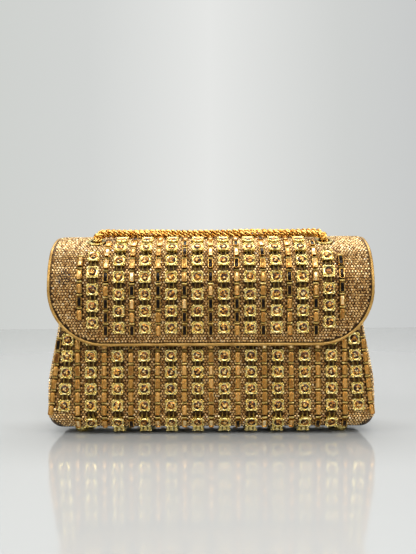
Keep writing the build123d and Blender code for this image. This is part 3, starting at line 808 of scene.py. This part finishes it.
# The net under the stones is a dull dark gold plate, darker towards the edges of 1.2 mm cells: a
# painted shade of the gap round each stone.
net, tree, shader = material("dark gold-plated net with painted shade", {"Metallic": 0.8, "Roughness": 0.45})
cells = node(
    tree,
    "ShaderNodeTexVoronoi",
    {"feature": "F1"},
    {"Scale": 1 / (1.2 * MM), "Randomness": 0.6},
    {"Vector": node(tree, "ShaderNodeTexCoord").outputs["Object"]},
).outputs["Distance"]
coloured(shader, cells, [(0.15, "7a5a2c"), (0.45, "4a3216"), (0.75, "1c1208")])
embossed(shader, cells, 0.6, 0.3).invert = True
refinish(net, "flap_mesh", "front_mesh", "back_mesh", "gusset_mesh_left", "gusset_mesh_right")

# ---- Cup strips ------------------------------------------------------------------------
# Round champagne stones in square gold-plated claw cups, 8.3 mm across. Each cup is a square
# tray with a round seat and a ball-ended claw at each corner, joined to the next by a link.
CUP = 8.3
CUP_PITCH = 11.1
CUP_START = 2.3             # from the middle of the base to the middle of the first cup
CLAW_R, CLAW_OUT, CLAW_SPREAD = 0.66, 4.35, 0.34    # ball, its place, radians between two
# Columns on the flap, distance of the lowest setting from the hem, and number of settings.
FLAP_CUPS = ((FLAP_CUP_X[1:-1], 10.5, 7), (FLAP_CUP_X[::9], 13.9, 5))
# Columns on the case, and how many settings they lack at their foot.
CASE_CUPS = ((CASE_CUP_X[2:-2], 0), (CASE_CUP_X[1::9], 1))


def tray(name, width, length, height, middle, bevel, rim):
    """Open tray in edit mode, its upright edges bevelled and its top inset by a rim."""
    bpy.ops.mesh.primitive_cube_add(size=1, location=(0, 0, middle * MM))
    made = bpy.context.object
    made.scale = (width * MM, length * MM, height * MM)
    open_underside(finished(made, name))
    pick(lambda e: abs(e.verts[0].co.z - e.verts[1].co.z) > 1 * MM, "edges")
    bpy.ops.mesh.bevel(offset=bevel * MM, segments=1)
    pick(lambda f: f.normal.z > 0.5)
    bpy.ops.mesh.inset(thickness=rim * MM)
    return made


def push(distance):
    """Extrude the selected faces upwards, or down if negative."""
    bpy.ops.mesh.extrude_region_move(TRANSFORM_OT_translate={"value": (0, 0, distance * MM)})


# One cup: a tray, a bright ring that seats the stone, and two balls at each corner.
inner = CUP - 0.7           # across the tray's walls, inside the claws
cup = tray("cup", width=inner, length=inner, height=1.9, middle=1.5, bevel=0.5, rim=0.28)
push(-1.2)
bpy.ops.mesh.select_all(action="DESELECT")
bpy.ops.mesh.primitive_torus_add(
    major_segments=20,
    minor_segments=5,
    major_radius=3.25 * MM,
    minor_radius=0.5 * MM,
    location=(0, 0, 2.45 * MM),
)
for corner in range(4):
    for offset in (-0.5, 0.5):
        angle = corner * pi / 2 + pi / 4 + offset * CLAW_SPREAD
        bpy.ops.mesh.primitive_uv_sphere_add(
            segments=6,
            ring_count=4,
            radius=CLAW_R * MM,
            location=(CLAW_OUT * MM * cos(angle), CLAW_OUT * MM * sin(angle), 2.65 * MM),
        )
cup = finished(cup, "cup", 50)
settled(cup)

# One stone: a girdle 6.1 mm across, two rising rings of facets and a pointed top.
bpy.ops.mesh.primitive_cylinder_add(
    vertices=8, radius=3.05 * MM, depth=0.4 * MM, location=(0, 0, 2.1 * MM)
)
stone = bpy.context.object
open_underside(stone)
for rise, shrink in ((0.45, 0.74), (0.4, 0.6)):
    pick(lambda f: f.normal.z > 0.9)
    push(rise)
    bpy.ops.transform.resize(value=(shrink, shrink, 1))
    bpy.ops.transform.rotate(value=pi / 8, orient_axis="Z", center_override=(0, 0, 0))
pick(lambda f: f.normal.z > 0.95)
bpy.ops.mesh.poke()
bpy.ops.mesh.select_all(action="SELECT")
bpy.ops.mesh.quads_convert_to_tris(quad_method="SHORTEST_DIAGONAL")
stone = finished(stone, "cup_stone", 5)
settled(stone)
stone_faces = len(stone.data.polygons)
# Painted light on each stone: a painted highlight in its middle, painted shade on the facets
# round it and a mix on the rim.
stone_painted_light = []
for face in stone.data.polygons:
    off = hypot(face.center.x, face.center.y) / MM
    stone_painted_light.append(0.12 if off < 1.2 else -0.3 if off < 2.3 else -0.1)

# One link: two oval loops 3 mm apart, between a cup and the next.
bpy.ops.mesh.primitive_torus_add(
    major_segments=8,
    minor_segments=4,
    major_radius=0.95 * MM,
    minor_radius=0.4 * MM,
    location=(-1.5 * MM, CUP_PITCH / 2 * MM, 1.0 * MM),
    rotation=(0, pi / 2, 0),
)
loop = bpy.context.object
loop.scale = (1.0, 1.9, 1.0)
loop = finished(loop, "cup_loop", 60)
start_edit(loop)
bpy.ops.mesh.select_all(action="SELECT")
bpy.ops.mesh.duplicate_move(TRANSFORM_OT_translate={"value": (3.0 * MM, 0, 0)})
loop = finished(loop, "cup_loop", 60)


def strip_places(runs, x, first, pitch, rows):
    """Places of a strip's settings, from the lowest one up."""
    places = []
    for row in range(rows):
        point, along, out = walk(runs, first + row * pitch)
        across = along.cross(out)
        places.append(frame_at(point + Vector((x * MM, 0, 0)), across, along, out))
    return places


def flap_strips(layout, pitch):
    """Places of the settings on the flap, strip by strip."""
    return [
        place
        for columns, first, rows in layout
        for x in columns
        for place in strip_places(flap_runs, x, first, pitch, rows)
    ]


def case_strips(side, top, layout, outer, first, pitch, length):
    """Places of the settings on the front or back, the leaning outer strips last.

    `outer` has the leaning strips' x and lean, and how many settings they lack.
    """

    def column(x, upper, lacking):
        runs = case_runs(upper, side)
        rows = int((total(runs) - first - length / 2) // pitch) + 1
        return strip_places(runs, x, first + lacking * pitch, pitch, rows - lacking)

    places = [p for columns, lacking in layout for x in columns for p in column(x, top, lacking)]
    x, lean, lacking = outer
    for hand in (-1, 1):
        turn = Matrix.Rotation(-hand * radians(lean), 4, "Y")
        pivot = Matrix.Translation((hand * x * MM, 0, HIP_Z * MM))
        back = Matrix.Translation((0, 0, -HIP_Z * MM))
        places += [pivot @ turn @ back @ place for place in column(0, OUTER_TOP, lacking)]
    return places


def strip_sets(flap_layout, case_layout, outer, first, pitch, length):
    """Panel, body and places of each panel's settings."""
    rest = (case_layout, outer, first, pitch, length)
    return (
        ("flap", "flap", flap_strips(flap_layout, pitch)),
        ("front", "case", case_strips(-1, FRONT_TOP, *rest)),
        ("back", "case", case_strips(1, BACK_TOP, *rest)),
    )


# Gold-plated brass: a cool lemon gold, darker and paler in chance blotches that also set its
# roughness.
plate, tree, shader = material("polished gold-plated brass, claw settings", {"Metallic": 1.0})
blotch = noise(tree, 1.6, 3.0)
coloured(shader, blotch, [(0.22, "c09a40"), (0.45, "f4da80"), (0.7, "fff4bc")])
roughened(shader, blotch, 0.14, 0.36)
embossed(shader, noise(tree, 0.5), 0.2, 0.05)

# The links are the same plate in a dull dark olive, darkened as a painted shade of the gaps they
# sit in between the settings.
olive, tree, shader = material(
    "dull olive plate with painted shade, strip links", {"Metallic": 1.0, "Roughness": 0.42}
)
coloured(shader, noise(tree, 2.0, 3.0), [(0.3, "6a5a30"), (0.55, "a08c50"), (0.75, "cdbb80")])
embossed(shader, noise(tree, 0.7), 0.3, 0.08)

# The same foil-backed glass as the small stones, cut larger: its dark brown and gold facets are
# painted reflections and glints.
amber, tree, shader = material(
    "foil-backed champagne glass with painted glints, cup stones",
    {"Metallic": 0.7, "Coat Weight": 0.1, "Coat Roughness": 0.08},
)
coloured(
    shader,
    facet(tree),
    [
        (0.0, "100602"),
        (0.25, "3a1e0a"),
        (0.5, "985f22"),
        (0.7, "e0a040"),
        (0.88, "ffd074"),
        (1.0, "ffe4a0"),
    ],
)
roughened(shader, noise(tree, 4.0), 0.3, 0.45)

outer_cups = (OUTER_CUP_X, OUTER_CUP_LEAN, 2)
for panel, body, places in strip_sets(
    FLAP_CUPS, CASE_CUPS, outer_cups, CUP_START, CUP_PITCH, CUP
):
    turned = [p @ Matrix.Rotation(SEED.uniform(0, pi / 4), 4, "Z") for p in places]
    cups = repeated(cup, places, panel + "_cup_settings")
    stones = repeated(stone, turned, panel + "_cup_stones")
    loops = repeated(loop, places, panel + "_cup_links")
    chance_painted_glints(stones, stone_faces, 0.15, stone_painted_light)
    for piece, finish in ((cups, plate), (stones, amber), (loops, olive)):
        fitted(piece, finish, body, "cup_settings", panel + "_cup_strips")
drop(cup, stone, loop)

# ---- Bar strips ------------------------------------------------------------------------
# Bar stones 6.6 mm long in plated channels with two raised rails, end to end in upright
# strips. An arched link of the dull olive plate, darkened as painted shade, joins each channel
# to the next.
BAR_L, BAR_W, BAR_PITCH = 6.6, 3.6, 8.85
BAR_START = ROLL_R * radians(40) + BAR_L / 2
# Painted reflections: high bars are painted black or bright by chance, and bars that face up or
# down get a painted reflection of the room.
HIGH_BARS = 55              # bars above this height are black or bright
LEVEL_BARS = 0.85           # bars that face the front or rear less than this mirror the room
# The strips beside the eyelets end one bar lower, clear of the chain.
FLAP_BARS = ((FLAP_BAR_X[2:-2], 8.5, 9), (FLAP_BAR_X[1::8], 8.5, 8), (FLAP_BAR_X[::10], 19.2, 5))
CASE_BARS = ((CASE_BAR_X, 0),)

# One channel: a tray whose opening is drawn out to its ends, between the two rails.
width = BAR_W * 0.94
channel = tray("channel", width, length=BAR_L, height=2.5, middle=1.45, bevel=0.55, rim=0.5)
bpy.ops.transform.resize(value=(1, 1.1, 1))
push(-0.7)
channel = finished(channel, "channel", 40)
settled(channel)

# One bar stone: a block 6 mm long whose upper half tapers.
bpy.ops.mesh.primitive_cube_add(size=1, location=(0, 0, 2.0 * MM))
bar = bpy.context.object
bar.scale = (2.2 * MM, 6.0 * MM, 0.5 * MM)
open_underside(finished(bar, "bar"))
pick(lambda f: f.normal.z > 0.5)
push(0.3)
bpy.ops.transform.resize(value=(0.7, 0.88, 1))
bar = finished(bar, "bar", 10)
settled(bar)
bar_faces = len(bar.data.polygons)

# One link: a short rod across the strip with dished ends, between a channel and the next.
bpy.ops.mesh.primitive_cylinder_add(
    vertices=8,
    radius=0.75 * MM,
    depth=3.4 * MM,
    location=(0, BAR_PITCH / 2 * MM, 1.15 * MM),
    rotation=(0, pi / 2, 0),
)
bridge = finished(bpy.context.object, "bridge")
start_edit(bridge)
pick(lambda f: abs(f.normal.x) > 0.9)
bpy.ops.mesh.inset(thickness=0.25 * MM)
bpy.ops.transform.translate(value=(0, 0, -0.1 * MM))
bridge = finished(bridge, "bridge", 40)

# The channels' plate is a redder gold than the claws', darker and paler in chance blotches.
rail, tree, shader = material(
    "polished rose-gold plate, bar channels", {"Metallic": 1.0, "Roughness": 0.24}
)
coloured(shader, noise(tree, 1.5, 3.0), [(0.25, "8c5f22"), (0.5, "d2a04e"), (0.72, "ffdf94")])
embossed(shader, noise(tree, 0.5), 0.2, 0.05)

# Mirror-backed bar glass with painted reflections: each bar is coloured black, brown or bright
# gold as a whole, chosen by its height and angle.
mirror_bar, tree, shader = material(
    "mirror-backed smoke glass, bar stones",
    {"Metallic": 0.8, "Coat Weight": 0.1, "Coat Roughness": 0.04},
)
coloured(
    shader,
    facet(tree),
    [
        (0.0, "060402"),
        (0.3, "241406"),
        (0.45, "7a4c1c"),
        (0.66, "c08c42"),
        (0.8, "e8b468"),
        (1.0, "ffe6ac"),
    ],
)
roughened(shader, noise(tree, 5.0), 0.2, 0.34)


def painted_bar_reflections(object_, places):
    """One painted reflection for each bar: black or bright gold high up and where it faces up or
    down, brown-gold low down.
    """
    shades = []
    for place in places:
        height = place[2][3] / MM
        own = SEED.choice([0.08, 0.12, 0.7, 0.85]) if height > HIGH_BARS else 0.66
        if abs(place[1][2]) < LEVEL_BARS:
            own = SEED.choice([0.15, 0.8, 0.95])
        own += SEED.normal(0, 0.06)
        shades += [own] * bar_faces
    shade_faces(
        object_, np.clip(np.array(shades) + SEED.normal(0, 0.06, len(shades)), 0, 1)
    )


outer_bars = (OUTER_BAR_X, OUTER_BAR_LEAN, 1)
for panel, body, places in strip_sets(
    FLAP_BARS, CASE_BARS, outer_bars, BAR_START, BAR_PITCH, BAR_L
):
    channels = repeated(channel, places, panel + "_bar_channels")
    bars = repeated(bar, places, panel + "_bar_stones")
    bridges = repeated(bridge, places, panel + "_bar_links")
    painted_bar_reflections(bars, places)
    for piece, finish in ((channels, rail), (bars, mirror_bar), (bridges, olive)):
        fitted(piece, finish, body, "bar_settings", panel + "_bar_strips")
drop(channel, bar, bridge)

# ---- Flap piping -----------------------------------------------------------------------
# A strip of satin gold leatherette sewn round a cotton cord, along the flap's whole edge.
leather, tree, shader = material("gold foil leatherette, satin", {"Metallic": 0.65})
grain = noise(tree, 0.7, 4.0, 0.6)
coloured(shader, noise(tree, 9.0, 2.0), [(0.3, "a07a3c"), (0.5, "b48c48"), (0.7, "c49d5a")])
roughened(shader, grain, 0.34, 0.5)
embossed(shader, grain, 0.35, 0.1)


def cad_copy(name):
    """A copy of a CAD node by itself, in edit mode and with its split corners joined."""
    source = bpy.data.objects[name]
    copy = source.copy()
    copy.data = source.data.copy()
    bpy.context.scene.collection.objects.link(copy)
    choose(copy)
    bpy.ops.object.parent_clear(type="CLEAR_KEEP_TRANSFORM")
    bpy.ops.object.transform_apply(location=True, rotation=True, scale=True)
    start_edit(copy)
    bpy.ops.mesh.select_all(action="SELECT")
    bpy.ops.mesh.remove_doubles(threshold=0.01 * MM)
    return copy


def sliced(normal, places):
    """Cut the edited mesh across at each place along a normal, so that it can bend there."""
    for place in places:
        bpy.ops.mesh.select_all(action="SELECT")
        bpy.ops.mesh.bisect(plane_co=[place * n for n in normal], plane_no=normal)


def soft_copy(name, body, finish, step_mm, waver_mm, slot):
    """Replace a CAD node of cloth or leather by a finely divided copy that wavers."""
    soft = cad_copy(name)
    corners = np.array([v.co for v in soft.data.vertices])
    step = step_mm * MM
    for axis, normal in enumerate(((1, 0, 0), (0, 1, 0), (0, 0, 1))):
        low, high = corners[:, axis].min(), corners[:, axis].max()
        sliced(normal, np.arange(low + step / 2, high, step))
    bpy.ops.mesh.select_all(action="SELECT")
    bpy.ops.transform.vertex_random(offset=waver_mm * MM, uniform=0.0, normal=1.0, seed=3)
    soft = finished(soft, name + "_soft", 50)
    fitted(soft, finish, body, slot, name)


soft_copy("flap_piping", "flap", leather, 4, 0.08, "gold_leather")

# ---- Eyelets, feet and snap ------------------------------------------------------------
# Turned brass, gold plated and polished: bright with fine turning marks and small scuffs.
# The washers behind them are nickel-plated steel, and the snap's magnet is grey.
turned, tree, shader = material("turned gold-plated brass, eyelets and feet", {"Metallic": 1.0})
scuffs = noise(tree, 1.2, 4.0, 0.6)
coloured(shader, scuffs, [(0.25, "9c8440"), (0.5, "cdb66a"), (0.75, "efe0a0")])
roughened(shader, scuffs, 0.16, 0.32)
embossed(shader, noise(tree, 0.4), 0.1, 0.05)
refinish(turned, "eyelet_left", "eyelet_right", "eyelet_washers", "feet")
refinish(turned, "snap_socket", "snap_stud")

nickel, tree, shader = material(
    "nickel-plated steel, snap washers", {"Metallic": 1.0, "Roughness": 0.3}
)
coloured(shader, noise(tree, 2.0), [(0.3, "8e8e8a"), (0.7, "b8b8b4")])
refinish(nickel, "snap_stud_washer", "snap_socket_washer", "foot_washers")

sintered, tree, shader = material(
    "sintered magnet with a grey coat", {"Metallic": 0.6, "Roughness": 0.5}
)
coloured(shader, noise(tree, 0.8), [(0.3, "2c2c2e"), (0.7, "48484a")])
refinish(sintered, "snap_magnet")

# ---- Base cover ------------------------------------------------------------------------
# Black leatherette with a fine pebble grain, wrapped 2 mm up the sides under the mesh. Its black
# is partly its own colour and partly a painted shade for the dark band under the bag.
pebble, tree, shader = material(
    "black leatherette with painted shade, pebble grain", {"Roughness": 0.6, "Specular IOR Level": 0.25}
)
coloured(shader, noise(tree, 6.0), [(0.3, "0c0b0a"), (0.7, "1a1816")])
cells = node(
    tree,
    "ShaderNodeTexVoronoi",
    {"feature": "DISTANCE_TO_EDGE"},
    {"Scale": 1 / (0.9 * MM)},
    {"Vector": node(tree, "ShaderNodeTexCoord").outputs["Object"]},
)
embossed(shader, cells.outputs["Distance"], 0.4, 0.15)
soft_copy("base_cover", "case", pebble, 7, 0.08, "black_leather")

# ---- Linings and boards ----------------------------------------------------------------
# Black satin over the inside: a fine twill whose long floats give it a soft sheen, with diagonal
# streaks of painted sheen in its colour.
# It and the mesh are glued to grey pressed board, and the piping's cord is cotton.
satin, tree, shader = material(
    "black polyester satin with painted sheen, woven", {"Roughness": 0.38, "Sheen Weight": 0.4}
)
weave_and_painted_sheen = node(
    tree,
    "ShaderNodeTexWave",
    {"wave_type": "BANDS", "bands_direction": "DIAGONAL"},
    {"Scale": 1 / (1.2 * MM) / 20, "Distortion": 1.5, "Detail": 2.0},
    {"Vector": node(tree, "ShaderNodeTexCoord").outputs["Object"]},
).outputs["Fac"]
coloured(shader, weave_and_painted_sheen, [(0.2, "100d0a"), (0.8, "1d1813")])
embossed(shader, weave_and_painted_sheen, 0.25, 0.05)
soft_copy("case_lining", "case", satin, 7, 0.1, "satin_lining")
soft_copy("flap_lining", "flap", satin, 7, 0.1, "satin_lining")
soft_copy("slip_pocket", "case", satin, 6, 0.12, "satin_lining")

board, tree, shader = material("grey pressed board", {"Roughness": 0.9})
coloured(shader, noise(tree, 1.5, 5.0, 0.7), [(0.3, "6e6a64"), (0.7, "8c877f")])
embossed(shader, noise(tree, 0.8, 4.0), 0.3, 0.1)
refinish(board, "front_board", "back_board", "gusset_board_left", "gusset_board_right")
refinish(board, "base_tray", "flap_board")

cotton, tree, shader = material("twisted cotton cord", {"Roughness": 0.95})
coloured(shader, noise(tree, 0.8, 3.0), [(0.3, "bdb5a4"), (0.7, "ddd6c8")])
refinish(cotton, "flap_piping_core")

# ---- Facing, binding and keepers -------------------------------------------------------
# Gold leatherette: a facing on the front wall under the flap, a binding folded over the
# mouth's edge and the two loops inside the flap that the chain's ends slide through.
for name, body, step_mm, waver_mm in (
    ("front_facing", "case", 5, 0.08),
    ("mouth_binding", "case", 5, 0.08),
    ("chain_keeper_left", "flap", 3, 0.06),
    ("chain_keeper_right", "flap", 3, 0.06),
):
    soft_copy(name, body, leather, step_mm, waver_mm, "gold_leather")

# Waxed polyester thread in stitches 2.3 mm long every 3 mm, sunk a little into the cloth.
thread, tree, shader = material(
    "waxed polyester thread, old gold", {"Roughness": 0.6, "Sheen Weight": 0.3}
)
coloured(shader, noise(tree, 0.6), [(0.3, "8f7434"), (0.7, "c8ab62")])
STITCH = 3.0
SEAM_REACH = 20             # a seam lies no further than this from its run of corners
bpy.ops.mesh.primitive_uv_sphere_add(segments=6, ring_count=5, radius=1.0 * MM)
stitch = bpy.context.object
stitch.scale = (0.28, 1.15, 0.24)
stitch = finished(stitch, "stitch", 180)


def seam(corners, name, slot):
    """Stitches along a run of corners, laid on the first surface met towards the rear."""
    bpy.context.view_layer.update()
    graph = bpy.context.evaluated_depsgraph_get()
    rear = Vector((0, 1, 0))
    places = []
    for start, end in zip(corners, corners[1:]):
        start, end = Vector(start) * MM, Vector(end) * MM
        count = int((end - start).length / (STITCH * MM))
        for n in range(count):
            point = start.lerp(end, (n + 0.5) / count)
            hit, found, normal, *_ = bpy.context.scene.ray_cast(
                graph, point, rear, distance=SEAM_REACH * MM
            )
            if hit:
                out = normal if normal.dot(rear) < 0 else -normal
                along = (end - start).normalized()
                along = (along - out * along.dot(out)).normalized()
                places.append(frame_at(found, along.cross(out), along, out))
    fitted(repeated(stitch, places, name), thread, "case", slot)


seam([(-92, -25, 73.2), (92, -25, 73.2)], "facing_stitches", "gold_leather")
seam([(-62, 10, 101.5), (62, 10, 101.5)], "pocket_hem_stitches", "satin_lining")
seam(
    [(-62.5, 10, 101), (-62.5, 10, 36), (62.5, 10, 36), (62.5, 10, 101)],
    "pocket_edge_stitches",
    "satin_lining",
)
drop(stitch)

# ---- Hinge strip -----------------------------------------------------------------------
# Two strips of the gold leatherette, outside and inside, that join the back to the flap where it
# turns, each one sheet cut across every 0.8 mm over that turn. Heights in metres.
HINGE_CUTS = np.arange(0.116, 0.137, 0.0008)
for name in ("hinge_strip", "hinge_strip_lining"):
    strip = cad_copy(name)
    bpy.ops.mesh.tris_convert_to_quads()
    sliced((0, 0, 1), HINGE_CUTS)
    strip = finished(strip, name + "_sheet", 50)
    refinish(leather, strip.name)
    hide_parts(name)
    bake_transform(strip)
